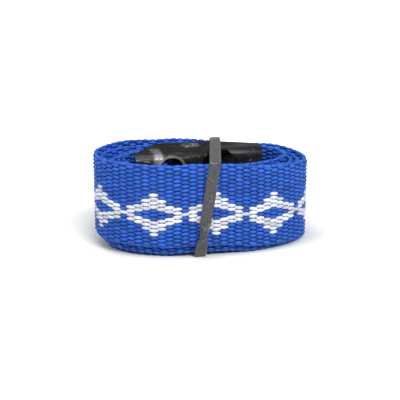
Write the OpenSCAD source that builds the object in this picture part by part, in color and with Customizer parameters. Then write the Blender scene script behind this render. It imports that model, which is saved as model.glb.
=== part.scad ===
// Cam buckle tie-down strap, rolled up on its edge and held by a rubber band.
// +Z is up, X runs along the roll, and the roll rests on Z = 0.
// The buckle lies on its side: its pin stands upright and its base plate faces -Y.

/* [Webbing] */
// Width of the webbing, which stands upright in the roll
web_w = 25.4; // [25:0.1:25.5]
// Thickness of the webbing
web_t = 1.4; // [1.2:0.1:1.4]
// Length of the doubled, sewn end beyond the buckle
sewn_l = 25; // [20:1:27]

/* [Roll] */
// Length of the roll over its outermost lap
roll_l = 66.5; // [66:0.1:68]
// Depth of the roll over its outermost lap
roll_d = 37.4; // [37.2:0.1:39]
// Squareness of the roll's front half, where 2 is an ellipse
oval_front = 2.2; // [2.1:0.05:2.4]
// Squareness of the roll's back half
oval_back = 2.6; // [2.2:0.05:2.6]
// Turns from the buckle to the free end
roll_turns = 4.3; // [4.25:0.01:4.35]
// Spacing of the laps at the left end
lap_left = 1.7; // [1.6:0.05:1.7]
// Spacing of the laps at the right end
lap_right = 2.2; // [1.6:0.05:2.3]
// Spacing of the laps along the front
lap_front = 1.52; // [1.5:0.01:1.55]
// Spacing of the laps along the back
lap_back = 1.5; // [1.48:0.01:1.5]
// Height that the outer lap has slipped up at the left end
slip_left = 3.8; // [0:0.1:5]
// Height that the outer lap has slipped up at the right end
slip_right = 0.7; // [0:0.1:2]
// Height that the outer lap has slipped up at the front
slip_front = 2.6; // [0:0.1:4]
// Height that the outer lap has slipped up at the back
slip_back = 1.9; // [0:0.1:4]
// How much higher the free end's lap stands at the back left
tail_rise = 1.25; // [0:0.05:1.5]

/* [Buckle] */
// Length of the buckle frame
frame_l = 40.5; // [40:0.1:41]
// Width of the buckle frame over both side plates
frame_w = 28.4; // [28.4:0.1:29]
// Depth of the side plates at their highest
frame_d = 14.2; // [13.8:0.1:14.3]
// Thickness of the frame's sheet steel
sheet = 1.3; // [1.2:0.1:1.4]
// Outside radius of the frame's two folds
fold_r = 2.5; // [2:0.1:3]
// Angle of the buckle to the roll's long axis
frame_yaw = 4.8; // [4:0.1:5]
// Radius of the cam's pivot pin
pin_r = 2; // [1.8:0.1:2.2]

/* [Rubber band] */
// Width of the rubber band
band_w = 3.5; // [2.5:0.1:4]
// Thickness of the rubber band
band_t = 0.6; // [0.5:0.1:0.7]

/* [Hidden] */
$fn = 48;

// Buckle frame, in its own coordinates: S along it, T back from its front face, Z up.
frame_x = -21.1;
frame_y = -4.9;
frame_z = band_t;
bar_l = 7.4;                          // end bar that the sewn loop goes round
slot_l = 7.6;                         // webbing slot, along S
slot_edge = 1.6;                      // metal left beyond the slot at each side
slot_r = 3.6;                         // its rounded ends
bead_r = 0.55;                        // rolled rim of the slot
bead_out = 0.25;                      // how far outside the slot's edge the rim runs
bead_back = 0.25;                     // how far behind the front face its middle lies
window_s = 21.2;                      // eight-sided window under the cam, fold to fold
window_l = 10.4;
window_edge = 0.3;
window_cut = 2.4;                     // its cut-off corners
pin_s = 19.5;
pin_t = 8.8;
head_r = 3.2;
head_h = 0.4;
sunk_r = 2.9;
sunk_h = 0.7;
fixed_gap = 0.03;                     // pin in the frame
run_gap = 0.05;                       // cam on the pin
wall_gap = 0.35;                      // cam to each side plate
clear_w = frame_w - 2 * sheet;        // between the side plates

// Cam and lever, about the pin.
hub_r = 4.2;
tooth_r0 = 7.38;                      // first tooth, next to the base plate
tooth_r1 = 7.95;                      // last tooth
tooth_h = 0.75;
tooth_a0 = 255;
tooth_a1 = 213;
tooth_n = 5;
spring_bay = 4.8;                     // room for the spring at the lower end
lever_l = 15.5;
lever_w = 0.4;                        // step back of the lever's edges from the cam

// Torsion spring.
wire_r = 0.4;
coil_r = 3.3;
coil_n = 3;
coil_pitch = 0.95;

// The strap's loop in the buckle, its leg on each face of the end bar.
loop_gap = 0.06;                      // between the two legs where they are sewn
loop_narrow = 3.2;                    // how much narrower it is pinched in the slot
front_t = -0.42 - web_t / 2;
inner_t = sheet + 0.2 + web_t / 2;
loop_lift = frame_z + sheet + 0.2;
loop_s = bar_l + 0.3;                 // a little slack round the bar
loop_r = (inner_t - front_t) / 2;

// Half lengths and half depths of the oval that the laps are spaced in from.
half_left = roll_l / 2 - web_t / 2;
half_right = half_left + lap_right / 2;
half_front = roll_d / 2 - web_t / 2 + lap_front / 4;
half_back = roll_d / 2 - web_t / 2 - lap_back / 4;
whole_turns = 4;
lead_turn = 0.12;                     // where the loop's legs join the oval
turn_step = 0.02;
settle_from = 0.2;                    // laps start to settle down here, in turns,
settle_turns = 1.5;                   // and have settled after this many more
slip_from = 2.6;                      // the outer laps start to slip up here,
slip_turns = 0.75;                    // over this part of a turn
tail_from = 4.05;                     // the free end's lap rises from here
tail_to = 4.18;                       // and comes down again from here
tail_fade = 0.12;                     // each over this part of a turn
corner_rise = 0.7;                    // the outer lap's extra height at the back right
band_lift = band_t + 0.15;            // laps ride up this much where the band passes under
band_lift_half = 5.5;                 // this far to each side of X = 0,
band_lift_l = 8;                      // and less and less over this length beyond it
band_press = 0.6;                     // the band pulls the outer laps down at the back,
band_press_x = 7.8;                   // most of all here,
band_press_l = 7;                     // and less and less over this length

// Lead from the end bar onto the oval, a smooth curve with these two reaches.
lead_reach = 4.6;
join_reach = 6.5;
leg_stay = 1.2;                       // the loop's two legs run on side by side this far
leg_close = 9;                        // and then meet over this length
pinch_l = 18;                         // and the pinched strap is full width after this

// Spring legs and the stitching of the sewn end.
base_leg_l = 5.9;
base_leg_a = 200;                     // where the lower leg joins the coil
lever_leg_l = 6.5;
lever_leg_a = 64;                     // and where the upper leg leaves it
thread_w = 0.5;
thread_t = 0.3;
thread_gap = 0.02;

// ---- small helpers ----
function signed_pow(v, p) = sign(v) * pow(abs(v), p);
function smooth(v) = let (c = min(max(v, 0), 1)) c * c * (3 - 2 * c);
function unit(v) = v / norm(v);
function turn2(v, a) = [v.x * cos(a) - v.y * sin(a), v.x * sin(a) + v.y * cos(a)];
function on_frame(s, t) = [frame_x, frame_y] + turn2([s, t], frame_yaw);
function heading(p, i) =
    unit(p[min(i + 1, len(p) - 1)] - p[max(i - 1, 0)]);
function right_of(v) = [v.y, -v.x];
function bezier(a, b, c, d, t) =
    a * pow(1 - t, 3) + 3 * b * t * pow(1 - t, 2) + 3 * c * t * t * (1 - t) + d * pow(t, 3);
function run_to(p, i) = i == 0 ? 0 : norm(p[i] - p[i - 1]) + run_to(p, i - 1);

// Outline of a belt stretched round circles [x, y, r], given anticlockwise.
function belt_angle(a, b) =
    atan2(b.y - a.y, b.x - a.x) - acos((a[2] - b[2]) / norm([b.x - a.x, b.y - a.y]));
function belt(c, steps = 6) = [
    for (i = [0 : len(c) - 1])
        let (n = len(c), a0 = belt_angle(c[(i + n - 1) % n], c[i]),
             a1 = belt_angle(c[i], c[(i + 1) % n]),
             sweep = ((a1 - a0) % 360 + 360) % 360)
        for (k = [0 : steps])
            let (a = a0 + sweep * k / steps)
            [c[i].x + c[i][2] * cos(a), c[i].y + c[i][2] * sin(a)]
];

// ---- route of the strap, seen from above ----
// Point on the roll after u turns: the oval, stepped in by the laps still to come.
function roll_point(u) =
    let (left = whole_turns - u, a = 180 - 360 * u, c = cos(a), s = sin(a),
         hx = c > 0 ? half_right : half_left, hy = s > 0 ? half_back : half_front,
         m = 2 / (s > 0 ? oval_back : oval_front),
         out = unit([signed_pow(c, 2 - m) / hx, signed_pow(s, 2 - m) / hy]),
         lap = c * c * (c > 0 ? lap_right : lap_left) + s * s * (s > 0 ? lap_back : lap_front))
    [hx * signed_pow(c, m), hy * signed_pow(s, m)] - out * lap * left;

// Height of the strap's lower edge after u turns, at x.
function slip(a) =
    let (side = sin(a) > 0 ? slip_back : slip_front,
         corner = cos(a) > 0 && sin(a) > 0 ? pow(sin(2 * a), 4) : 0)
    slip_left * (1 - cos(a)) / 2 + slip_right * (1 + cos(a)) / 2
    + (side - (slip_left + slip_right) / 2) * pow(sin(a), 2) + corner_rise * corner;
function roll_lift(u, x) =
    let (settled = smooth((u - settle_from) / settle_turns),
         slipped = smooth((u - slip_from) / slip_turns), a = 180 - 360 * u,
         pressed = sin(a) > 0 ? 1 - smooth(abs(x - band_press_x) / band_press_l) : 0)
    loop_lift * (1 - settled)
    + band_lift * (1 - smooth((abs(x) - band_lift_half) / band_lift_l)) * settled
    + (slip(a) - band_press * pressed) * slipped
    + tail_rise * smooth((u - tail_from) / tail_fade) * (1 - smooth((u - tail_to) / tail_fade));

lead_dir = on_frame(-1, 0) - on_frame(0, 0);
lead_end = roll_point(lead_turn);
lead_back = unit(roll_point(lead_turn - 0.01) - roll_point(lead_turn + 0.01));
lead_pts = [for (t = [0 : 0.1 : 1])
    let (a = on_frame(0, front_t))
    bezier(a, a + lead_dir * lead_reach, lead_end + lead_back * join_reach, lead_end, t)];
roll_us = [for (u = [lead_turn + turn_step : turn_step : roll_turns]) u];
long_pts = concat(lead_pts, [for (u = roll_us) roll_point(u)]);
long_lifts = concat([for (p = lead_pts) loop_lift],
                    [for (i = [0 : len(roll_us) - 1])
                        roll_lift(roll_us[i], roll_point(roll_us[i]).x)]);

// The short end lies inside the long one, from the sewn end back to the end bar.
function leg_apart(run) =
    let (wide = inner_t - front_t) wide + (web_t + loop_gap - wide) * smooth((run - leg_stay) / leg_close);
short_n = len([for (i = [0 : 30]) if (run_to(long_pts, i) <= sewn_l) i]);
short_pts = [for (k = [short_n - 1 : -1 : 1])
    long_pts[k] + right_of(heading(long_pts, k)) * leg_apart(run_to(long_pts, k))];
// How much narrower the strap is, this far along it from the buckle.
function pinch(run) = loop_narrow * (1 - smooth(run / pinch_l));
long_pinch = [for (i = [0 : len(long_pts) - 1])
    i < short_n ? pinch(run_to(long_pts, i)) : 0];
loop_pts = concat(
    [for (s = [-0.5, 2.6, 5.6]) on_frame(s, inner_t)],
    [for (a = [0 : 22.5 : 180])
        on_frame(loop_s + loop_r * sin(a), (inner_t + front_t) / 2 + loop_r * cos(a))],
    [for (s = [5.6, 2.6]) on_frame(s, front_t)]);
strap_pts = concat(short_pts, loop_pts, long_pts);
strap_pinch = concat([for (k = [short_n - 1 : -1 : 1]) long_pinch[k]],
                     [for (p = loop_pts) loop_narrow], long_pinch);
strap_lifts = concat([for (p = concat(short_pts, loop_pts)) loop_lift], long_lifts)
    + strap_pinch / 2;
strap_widths = [for (d = strap_pinch) web_w - d];

// ---- rubber band: a flat loop in one slanting plane ----
band_x = -0.3;
band_by_y = 0.206;
band_by_z = 0.158;
band_near = 0.05 + band_t / 2;
band_bottom = roll_d / 2 - 1.6;
band_side = roll_d / 2 + 0.2;
band_top = frame_z + frame_w;
knee_front = 3.2;                     // where it bends in under the outer lap
knee_back = 1.8;
web_front = 28.95;                    // and over the top of the outer lap
web_back = 27.8;
band_twist_z = 8;                     // height of the half turns at the front and back
band_twist_l = 9;                     // length of strap that a half turn takes up
band_twist_w = 0.6;                   // share of its width that the band keeps there
band_twist_h = 2.6;                   // and how much thicker it rolls up
band_twist_y = roll_d / 2 + 1.15;
band_corners = [                      // [y, z, radius] where the band turns
    [-band_bottom, band_t + 0.05, band_near], [band_bottom, band_t + 0.05, band_near],
    [band_side, knee_back, band_near], [band_twist_y, band_twist_z, band_near],
    [band_side, web_back, band_near], [10.6, band_top, band_near], [-2.4, band_top, band_near],
    [-band_side, web_front, band_near], [-band_twist_y, band_twist_z, band_near],
    [-band_side, knee_front, band_near]];
band_turns = belt(band_corners, 4);
// The band's middle line, with points added on its straight runs.
band_path = [for (i = [0 : len(band_turns) - 1])
    let (a = band_turns[i], b = band_turns[(i + 1) % len(band_turns)],
         n = max(1, ceil(norm(b - a) / 2.5)))
    for (k = [0 : n - 1]) a + (b - a) * k / n];
// How far through its half turn the band is at height z, from 0 at the top to 1.
function band_turned(p) =
    abs(p.x) < band_bottom ? (p.y > band_top / 2 ? 0 : 1)
    : smooth(0.5 + (band_twist_z - p.y) / band_twist_l);

// ---- shapes shared by the parts ----
module at_frame() {
    translate([frame_x, frame_y, frame_z]) rotate([0, 0, frame_yaw]) children();
}

module at_pin() {
    at_frame() translate([pin_s, pin_t, 0]) children();
}

// Ribbon of rectangular section from points, lower edges, widths and a thickness.
module ribbon(p, lift, width, thick) {
    n = len(p);
    verts = [for (i = [0 : n - 1])
        let (side = right_of(heading(p, i)) * thick / 2, a = p[i] + side, b = p[i] - side)
        each [[a.x, a.y, lift[i]], [b.x, b.y, lift[i]],
              [b.x, b.y, lift[i] + width[i]], [a.x, a.y, lift[i] + width[i]]]];
    skin = [for (i = [0 : n - 2], k = [0 : 3])
        let (a = 4 * i + k, b = 4 * i + (k + 1) % 4)
        each [[a, b + 4, b], [a, a + 4, b + 4]]];
    e = 4 * (n - 1);
    ends = [[0, 2, 3], [0, 1, 2], [e, e + 2, e + 1], [e, e + 3, e + 2]];
    polyhedron(verts, concat(skin, ends));
}

// Side plate outline, in S and T.
module plate_outline() {
    peak = frame_d;
    polygon(belt([[0.6, 0.6, 0.6], [frame_l - 0.6, 0.6, 0.6], [frame_l - 3.2, 4.9, 3.2],
                  [26.3, peak - 6.2, 5.5], [12, peak - 6.4, 6.4], [0.9, 1.6, 0.9]]));
}

// U section of the folded sheet, in T and Z, with both folds rounded.
module channel_section() {
    deep = frame_d + 2;
    difference() {
        polygon(concat([[deep, 0]],
            [for (a = [270 : -15 : 180]) [fold_r + fold_r * cos(a), fold_r + fold_r * sin(a)]],
            [for (a = [180 : -15 : 90])
                [fold_r + fold_r * cos(a), frame_w - fold_r + fold_r * sin(a)]],
            [[deep, frame_w]]));
        r = fold_r - sheet;
        polygon(concat([[deep + 1, sheet]],
            [for (a = [270 : -15 : 180]) [fold_r + r * cos(a), fold_r + r * sin(a)]],
            [for (a = [180 : -15 : 90]) [fold_r + r * cos(a), frame_w - fold_r + r * sin(a)]],
            [[deep + 1, frame_w - sheet]]));
    }
}

// Cuts straight through the base plate, from an outline in S and Z.
module through_base() {
    translate([0, 1.9, 0]) rotate([90, 0, 0]) linear_extrude(4) children();
}

// Corner circles of the slot, [s, z, radius], anticlockwise from the lower left.
function slot_corners(grow) =
    let (near = bar_l + slot_r, far = bar_l + slot_l - slot_r,
         low = slot_edge + slot_r, high = frame_w - low, r = slot_r + grow)
    [[near, low, r], [far, low, r], [far, high, r], [near, high, r]];

module slot_outline() {
    polygon(belt(slot_corners(0), 12));
}

module window_outline() {
    a = window_s;
    b = window_s + window_l;
    lo = window_edge;
    hi = frame_w - lo;
    c = window_cut;
    polygon([[a + c, lo], [b - c, lo], [b, lo + c], [b, hi - c], [b - c, hi], [a + c, hi],
             [a, hi - c], [a, lo + c]]);
}

// Rolled rim round the slot: a quarter ring at each corner, joined by straight beads.
module slot_bead() {
    c = slot_corners(bead_out);
    translate([0, bead_back, 0]) for (i = [0 : 3]) {
        from = c[i];
        to = c[(i + 1) % 4];
        turn = 90 * i;
        start = [from.x + from[2] * sin(turn), from.y - from[2] * cos(turn)];
        run = norm([to.x - from.x, to.y - from.y]);
        translate([from.x, 0, from.y]) rotate([90, 0, 0]) rotate([0, 0, 180 + turn])
            rotate_extrude(angle = 90) translate([from[2], 0]) circle(bead_r, $fn = 24);
        translate([start.x, 0, start.y]) rotate([0, 90 - turn, 0]) cylinder(r = bead_r, h = run);
    }
}

// ---- parts ----
module buckle_frame() {
    color("dimgray") at_frame() difference() {
        union() {
            intersection() {
                rotate([90, 0, 90]) linear_extrude(frame_l) channel_section();
                linear_extrude(frame_w) plate_outline();
            }
            slot_bead();
        }
        through_base() slot_outline();
        through_base() window_outline();
        translate([pin_s, pin_t, -1]) cylinder(r = pin_r + fixed_gap, h = frame_w + 2);
        translate([pin_s, pin_t, -1]) cylinder(r = sunk_r + fixed_gap, h = 1 + sunk_h);
    }
}

// Section of the cam about the pin: a round hub with a fan of teeth.
module cam_section() {
    circle(hub_r);
    step = (tooth_a1 - tooth_a0) / tooth_n;
    polygon(concat([[0, 0]],
        [for (i = [0 : tooth_n - 1])
            let (a = tooth_a0 + step * i, r = tooth_r0 + (tooth_r1 - tooth_r0) * i / tooth_n)
            each [[r * cos(a), r * sin(a)],
                  [(r - tooth_h) * cos(a + step * 0.75), (r - tooth_h) * sin(a + step * 0.75)]]],
        [[hub_r * cos(180), hub_r * sin(180)]]));
}

// Section of the thumb lever: a plate that slopes down to a turned-up lip.
module lever_section(start) {
    polygon([[start, 2.35 - 0.1 * start], [lever_l - 1.2, 0.75], [lever_l, 1.3],
             [lever_l + 0.3, 2.5], [lever_l - 0.7, 2.7], [lever_l - 1.3, 2.35],
             [start, 4.2 - 0.09 * start]]);
}

module cam_lever() {
    low = sheet + wall_gap;
    high = frame_w - low;
    color("#3a3a3c") at_pin() difference() {
        union() {
            translate([0, 0, low + spring_bay])
                linear_extrude(high - low - spring_bay) cam_section();
            translate([0, 0, low + spring_bay])
                linear_extrude(high - low - spring_bay - lever_w) lever_section(1);
            translate([0, 0, low + lever_w])
                linear_extrude(spring_bay + 1) lever_section(5);
        }
        translate([0, 0, -1]) cylinder(r = pin_r + run_gap, h = frame_w + 2);
    }
}

module pivot_pin() {
    color("silver") at_pin() {
        cylinder(r = pin_r, h = frame_w);
        cylinder(r = sunk_r, h = sunk_h);
        translate([0, 0, frame_w]) intersection() {
            cylinder(r = head_r, h = head_h);
            translate([0, 0, head_h - 14]) sphere(14, $fn = 96);
        }
    }
}

// Coil round the pin, with one leg on the base plate and one under the lever.
module cam_spring() {
    steps = 14;
    bottom = sheet + 0.3 + wire_r;
    a0 = base_leg_a;
    wound = a0 - lever_leg_a + 360 * coil_n;
    coil_pts = [for (i = [0 : steps * coil_n])
        let (f = i / (steps * coil_n), a = a0 - wound * f)
        [coil_r * cos(a), coil_r * sin(a), bottom + coil_pitch * wound / 360 * f]];
    base_leg = coil_pts[0] + [-sin(a0), cos(a0), 0] * base_leg_l;
    lever_leg = coil_pts[len(coil_pts) - 1]
        + [sin(lever_leg_a), -cos(lever_leg_a), 0] * lever_leg_l;
    color("lightgray") at_pin() tube(concat([base_leg], coil_pts, [lever_leg]), wire_r, 8);
}

// Round tube along 3-D points.
module tube(p, r, sides) {
    n = len(p);
    verts = [for (i = [0 : n - 1])
        let (d = unit(p[min(i + 1, n - 1)] - p[max(i - 1, 0)]),
             a = unit(cross(d, [0, 0, 1])), b = cross(a, d))
        each [for (k = [0 : sides - 1])
            p[i] + (a * cos(360 * k / sides) + b * sin(360 * k / sides)) * r]];
    skin = [for (i = [0 : n - 2], k = [0 : sides - 1])
        let (a = sides * i + k, b = sides * i + (k + 1) % sides)
        each [[a, b, b + sides], [a, b + sides, a + sides]]];
    caps = [[for (k = [sides - 1 : -1 : 0]) k],
            [for (k = [0 : sides - 1]) sides * (n - 1) + k]];
    polyhedron(verts, concat(skin, caps));
}

module webbing_strap() {
    color("royalblue") ribbon(strap_pts, strap_lifts, strap_widths, web_t);
}

// Rows of thread that show on the inside of the sewn end.
module loop_stitching() {
    rows = [3, 8, 13, 18];
    color("whitesmoke") for (h = rows) stitch_row(loop_lift + h + 1.4);
}

module stitch_row(z) {
    first = 1;
    last = short_n - 6;
    p = [for (k = [first : last])
        short_pts[k]
            - right_of(heading(short_pts, k)) * (web_t / 2 + thread_t / 2 + thread_gap)];
    ribbon(p, [for (q = p) z], [for (q = p) thread_w], thread_t);
}

module rubber_band() {
    n = len(band_path);
    verts = [for (i = [0 : n - 1])
        let (p = band_path[i],
             out = right_of(unit(band_path[(i + 1) % n] - band_path[(i + n - 1) % n])),
             f = band_turned(p), a = 180 * f,
             w = band_w / 2 * (1 - (1 - band_twist_w) * pow(sin(a), 2)),
             h = band_t / 2 * (1 + band_twist_h * pow(sin(a), 2)),
             x = band_x + band_by_y * p.x + band_by_z * p.y)
        each [for (k = [[1, 1], [-1, 1], [-1, -1], [1, -1]])
            let (q = turn2([k.x * w, k.y * h], a))
            [x + q.x, p.x + out.x * q.y, p.y + out.y * q.y]]];
    skin = [for (i = [0 : n - 1], k = [0 : 3])
        let (a = 4 * i + k, b = 4 * i + (k + 1) % 4,
             c = 4 * ((i + 1) % n) + (k + 1) % 4, d = 4 * ((i + 1) % n) + k)
        each [[a, c, b], [a, d, c]]];
    color("dimgray") polyhedron(verts, skin);
}

buckle_frame();
cam_lever();
pivot_pin();
cam_spring();
webbing_strap();
loop_stitching();
rubber_band();
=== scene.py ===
from bisect import bisect_right
import math
import random

import bpy
import bmesh
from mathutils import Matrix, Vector


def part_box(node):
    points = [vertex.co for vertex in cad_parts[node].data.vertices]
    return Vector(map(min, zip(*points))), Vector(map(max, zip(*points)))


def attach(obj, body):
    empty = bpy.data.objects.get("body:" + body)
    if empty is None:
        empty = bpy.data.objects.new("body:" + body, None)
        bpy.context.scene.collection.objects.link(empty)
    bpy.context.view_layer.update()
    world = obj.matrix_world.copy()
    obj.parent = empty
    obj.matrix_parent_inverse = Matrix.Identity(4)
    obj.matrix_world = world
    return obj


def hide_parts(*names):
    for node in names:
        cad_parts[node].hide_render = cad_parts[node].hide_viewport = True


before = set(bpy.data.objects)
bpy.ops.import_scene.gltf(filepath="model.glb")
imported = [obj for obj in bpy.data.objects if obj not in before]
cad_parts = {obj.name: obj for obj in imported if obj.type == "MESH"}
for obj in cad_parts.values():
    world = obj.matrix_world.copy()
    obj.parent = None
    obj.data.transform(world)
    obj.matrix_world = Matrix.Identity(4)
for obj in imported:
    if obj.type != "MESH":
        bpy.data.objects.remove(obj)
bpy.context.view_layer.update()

MM = 0.001
SCENE = bpy.context.scene

# ---- sizes, in millimetres, as in the part's source ----
WEB_W, WEB_T, SEWN_L = 25.4, 1.4, 25.0
ROLL_L, ROLL_D, ROLL_TURNS = 66.5, 37.4, 4.3
OVAL_FRONT, OVAL_BACK = 2.2, 2.6
LAP_LEFT, LAP_RIGHT, LAP_FRONT, LAP_BACK = 1.7, 2.2, 1.52, 1.5
SLIP_LEFT, SLIP_RIGHT, SLIP_FRONT, SLIP_BACK = 3.8, 0.7, 2.6, 1.9
CORNER_RISE, BAND_PRESS, BAND_PRESS_X, BAND_PRESS_L = 0.7, 0.6, 7.8, 7.0
SLIP_FROM, SLIP_TURNS = 2.6, 0.75
TAIL_RISE, TAIL_FROM, TAIL_TO, TAIL_FADE = 1.25, 4.05, 4.18, 0.12
SETTLE_FROM, SETTLE_TURNS = 0.2, 1.5
FRAME_X, FRAME_Y, FRAME_Z, FRAME_YAW = -21.1, -4.9, 0.6, 4.8
FRAME_W, SHEET, BAR_L = 28.4, 1.3, 7.4
PIN_S, PIN_T, PIN_R = 19.5, 8.8, 2.0
SLOT_L, SLOT_R, SLOT_EDGE = 7.6, 3.6, 1.6
SLOT_MID = BAR_L + SLOT_L / 2
FRONT_T = -0.42 - WEB_T / 2
INNER_T = SHEET + 0.2 + WEB_T / 2
LOOP_LIFT = FRAME_Z + SHEET + 0.2
LOOP_NARROW, LOOP_S = 3.2, BAR_L + 0.3
LOOP_R = (INNER_T - FRONT_T) / 2
LEAD_TURN, LEAD_REACH, JOIN_REACH = 0.12, 4.6, 6.5
LEG_STAY, LEG_CLOSE, LEG_GAP, PINCH_L = 1.2, 9.0, 0.06, 18.0
BAND_W, BAND_T = 3.5, 0.6
BAND_LIFT, BAND_LIFT_HALF, BAND_LIFT_L = BAND_T + 0.15, 5.5, 8.0
WHOLE_TURNS = 4
TURN_STEP = 0.01        # turns between points of the route
LOOP_STATIONS = (-0.5, 1.0, 2.6, 4.2, 5.6)

HALF_LEFT = ROLL_L / 2 - WEB_T / 2
HALF_RIGHT = HALF_LEFT + LAP_RIGHT / 2
HALF_FRONT = ROLL_D / 2 - WEB_T / 2 + LAP_FRONT / 4
HALF_BACK = ROLL_D / 2 - WEB_T / 2 - LAP_BACK / 4

# ---- the spring round the pin ----
WIRE_R, COIL_R, COIL_PITCH = 0.4, 3.3, 0.95
COIL_FROM, COIL_TO = 200, 64 - 360 * 3      # degrees, clockwise and upwards
COIL_LOW = FRAME_Z + SHEET + 0.3 + WIRE_R
LOWER_LEG, UPPER_LEG = (5.9, 3.0), (-3.2, -6.5)
LEG_OVERLAP, LEG_STEP = 28, 4   # degrees of the coil's end that the moving leg reaches into

# ---- the weave ----
COLUMN = 2.3            # pitch of the floats along the strap
ROWS = 21               # floats across the strap
FLOAT_L, FLOAT_H = 3.0, 1.08
CORE_HALF = 0.30        # half thickness of the ribbon under the floats
CORE_ROUND = 0.9        # radius of its corners, as a share of that
CORE_IN = 0.35          # how far it stays in from the webbing's edges
CORE_END = 0.6          # how much thinner it is at its two ends
ROW_IN, EDGE_IN = 0.55, 0.52        # first row, and selvedge, in from the webbing's edge
PROUD_OUT, PROUD_IN = 0.40, 0.36    # float's middle off the strap's: outer lap, elsewhere
BLUE_SIZE, WHITE_SIZE, EDGE_SIZE = (0.93, 1.0, 1.0), (1.03, 1.05, 1.08), (0.95, 1.55, 0.9)
LAP_ROWS = 6            # rows in from each edge that can be seen between laps
OUTER_LEAD = 2          # how far before the last turn the outer face starts
INSIDE_TO = 1.12        # turns where the inside of the roll is covered by the next lap
MOTIF_ROW = 8           # middle row of the white pattern
MOTIF_FROM = 3.535      # turns where the white pattern starts
MOTIF_COLUMNS = 8       # columns from one diamond to the next
DIAMOND, HOLLOW = (4.6, 5.1), (2.5, 2.0)    # half sizes, in columns and rows
STITCH, STITCH_ROWS = 1.9, (3, 8, 13, 18)
STITCH_UP, STITCH_PROUD, STITCH_STOP = 1.65, 0.12, 5
LIP_WIDE, LIP_DEEP, LIP_IN = 0.62, 0.55, 0.3

# ---- the rivet: radius, and height above its lower end or below its top ----
FOOT = ((0.6, 0.28), (2.2, 0.1), (2.7, 0), (2.9, 0.14), (2.9, 0.7), (PIN_R, 0.72))
HEAD_FACE = 0.4
HEAD_RIM = ((PIN_R, 0), (3.05, 0.01), (3.2, 0.08), (3.14, 0.17))
DOME_RADII, DOME_FLATNESS = (2.8, 2.3, 1.8, 1.2, 0.7, 0.3), 28

# ---- marks on the frame: middle, half size and fade along each of its axes ----
SCUFF_X, SCUFF_Y, SCUFF_Z = (8.9, 0.9, 1.0), (0.0, 5.5, 2.5), (FRAME_W, 9.0, 2.0)
RIM_Y = (0.0, 0.7, 0.2)
RIM_IN, RIM_OUT = 0.7, 0.85     # past the slot's outline, where the rim starts to fade and ends
ANY_DEPTH = 9                   # further back than the rim goes, so that Y doesn't count

# ---- colours ----
# the deep blue is painted shade for the gaps between floats; the dark blue is painted shade there
# and at the floats' tips, and the melted end's own colour
BLUE_GAP_SHADE, BLUE_DARK = (0.002, 0.014, 0.085, 1), (0.006, 0.046, 0.290, 1)
DYE_DARK, DYE_LIGHT = (0.010, 0.082, 0.430, 1), (0.018, 0.135, 0.620, 1)
WHITE_DULL, WHITE_YARN = (0.44, 0.46, 0.53, 1), (0.68, 0.69, 0.73, 1)
MELTED = (0.004, 0.018, 0.090, 1)
COAT_DARK, COAT_LIGHT = (0.005, 0.005, 0.006, 1), (0.016, 0.016, 0.018, 1)
BARE_STEEL, RIM_BRONZE = (0.23, 0.23, 0.24, 1), (0.105, 0.078, 0.064, 1)
EDGE_COAT, EDGE_STEEL = (0.030, 0.030, 0.032, 1), (0.16, 0.16, 0.165, 1)
CAST_DARK, CAST_LIGHT = (0.014, 0.014, 0.015, 1), (0.045, 0.045, 0.047, 1)
CAST_BARE = (0.22, 0.22, 0.23, 1)
PIN_DARK, PIN_LIGHT = (0.012, 0.012, 0.013, 1), (0.040, 0.040, 0.043, 1)
PIN_BARE_GLINT = (0.5, 0.5, 0.51, 1)
WIRE_DARK, WIRE_LIGHT = (0.20, 0.20, 0.21, 1), (0.42, 0.42, 0.44, 1)
RUBBER_DARK, RUBBER_LIGHT = (0.015, 0.015, 0.017, 1), (0.044, 0.043, 0.047, 1)
DUST = (0.26, 0.26, 0.27, 1)
PAPER_DARK, PAPER_LIGHT = (0.93, 0.93, 0.93, 1), (0.95, 0.95, 0.95, 1)


# ---- small helpers ----
def smooth(v):
    c = min(max(v, 0.0), 1.0)
    return c * c * (3 - 2 * c)


def signed_pow(v, p):
    return math.copysign(abs(v) ** p, v)


def turned(x, y, degrees):
    a = math.radians(degrees)
    return Vector((x * math.cos(a) - y * math.sin(a), x * math.sin(a) + y * math.cos(a)))


def right_of(v):
    return Vector((v.y, -v.x))


def heading(points, i):
    d = points[min(i + 1, len(points) - 1)] - points[max(i - 1, 0)]
    return d.normalized()


def running_length(points):
    total = [0.0]
    for a, b in zip(points, points[1:]):
        total.append(total[-1] + (b - a).length)
    return total


# ---- route of the strap, seen from above ----
def on_frame(s, t):
    return Vector((FRAME_X, FRAME_Y)) + turned(s, t, FRAME_YAW)


def roll_point(u):
    a = math.radians(180 - 360 * u)
    c, s = math.cos(a), math.sin(a)
    hx = HALF_RIGHT if c > 0 else HALF_LEFT
    hy = HALF_BACK if s > 0 else HALF_FRONT
    m = 2 / (OVAL_BACK if s > 0 else OVAL_FRONT)
    out = Vector((signed_pow(c, 2 - m) / hx, signed_pow(s, 2 - m) / hy)).normalized()
    lap = c * c * (LAP_RIGHT if c > 0 else LAP_LEFT) + s * s * (LAP_BACK if s > 0 else LAP_FRONT)
    return Vector((hx * signed_pow(c, m), hy * signed_pow(s, m))) - out * lap * (WHOLE_TURNS - u)


def slip(degrees):
    a = math.radians(degrees)
    c, s = math.cos(a), math.sin(a)
    ends = SLIP_LEFT * (1 - c) / 2 + SLIP_RIGHT * (1 + c) / 2
    side = SLIP_BACK if s > 0 else SLIP_FRONT
    corner = math.sin(2 * a) ** 4 if c > 0 and s > 0 else 0.0
    return ends + (side - (SLIP_LEFT + SLIP_RIGHT) / 2) * s * s + CORNER_RISE * corner


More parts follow.
